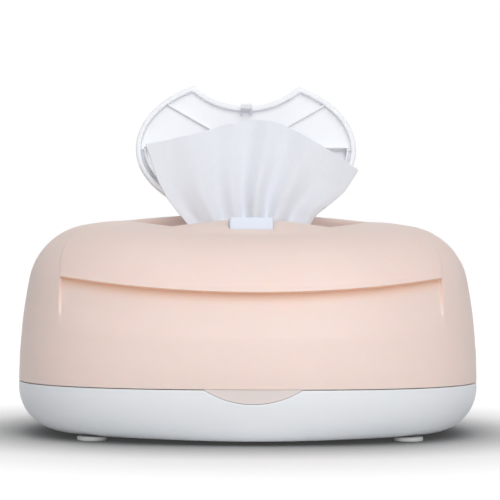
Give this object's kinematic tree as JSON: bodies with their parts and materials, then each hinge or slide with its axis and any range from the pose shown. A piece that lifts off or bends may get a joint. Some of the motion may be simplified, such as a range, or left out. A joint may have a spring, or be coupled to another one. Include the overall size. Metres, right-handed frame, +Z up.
{
  "type": "baby wipe warmer",
  "caption": "Rounded box that keeps wet wipes warm, with a hinged shell lid, a flap over the dispensing slot, a latch button and a heated tub.",
  "frame": {"origin": "middle of the box around the whole part, at the bottom of the feet", "axes": "+X to the right as seen from the front, +Y to the rear, +Z up"},
  "size_m": [0.25, 0.183, 0.1946],
  "materials": {
    "peach_shell": "satin moulded plastic, peach pink",
    "peach_grey_tab": "satin moulded plastic, greyed peach",
    "white_shell": "satin moulded plastic, white",
    "white_liner": "moulded plastic, white",
    "cool_white": "satin moulded plastic, bluish white",
    "foot_rubber": "matt black rubber",
    "seal_silicone": "milky silicone",
    "screw_steel": "zinc plated",
    "spring_steel": "spring wire",
    "spreader_aluminium": "plain sheet",
    "film_amber": "amber polyimide film",
    "insulation_felt": "pressed felt",
    "fuse_ceramic": "glazed body",
    "board_green": "solder mask",
    "inlet_black": "moulded black",
    "wipe_fabric": "wet nonwoven",
    "wire_red": "red silicone insulation"
  },
  "bodies": {
    "base": {"base_shell": "white_shell", "foot_front_left": "foot_rubber", "foot_front_right": "foot_rubber", "foot_rear_left": "foot_rubber", "foot_rear_right": "foot_rubber", "inner_tub": "white_liner", "tub_screws": "screw_steel", "heat_spreader": "spreader_aluminium", "heating_film": "film_amber", "insulation_pad": "insulation_felt", "thermostat": "screw_steel", "thermal_fuse": "fuse_ceramic", "heater_wires": "wire_red", "control_board": "board_green", "dc_inlet": "inlet_black", "rim_gasket": "seal_silicone", "wipe_stack": "wipe_fabric", "lid_hinge_pins": "screw_steel"},
    "lid": {"lid_shell": "peach_shell", "thumb_tab": "peach_grey_tab", "lid_liner": "white_liner", "liner_screws": "screw_steel", "orifice_seal": "seal_silicone", "flap_hinge_pin": "screw_steel", "flap_spring": "spring_steel", "button_spring": "spring_steel", "wipe_sheet": "wipe_fabric"},
    "flap": {"flap": "cool_white"},
    "button": {"latch_button": "cool_white"}
  },
  "joints": [
    {"name": "lid_hinge", "type": "hinge", "parent": "base", "child": "lid", "pos_m": [0, 0.0885, 0.029], "axis": [-1, 0, 0], "range_deg": [0, 85]},
    {"name": "flap_hinge", "type": "hinge", "parent": "lid", "child": "flap", "pos_m": [0, 0.0452, 0.1155], "axis": [1, 0, 0], "range_deg": [0, 101.5], "stiffness_Nm_per_rad": 0.01, "springref_deg": -34.38, "deforming": ["wipe_sheet"]},
    {"name": "button_press", "type": "slide", "parent": "lid", "child": "button", "axis": [0, 0, -1], "range_m": [0, 0.002], "stiffness_N_per_m": 400, "springref_m": -0.001, "deforming": ["button_spring"]}
  ]
}
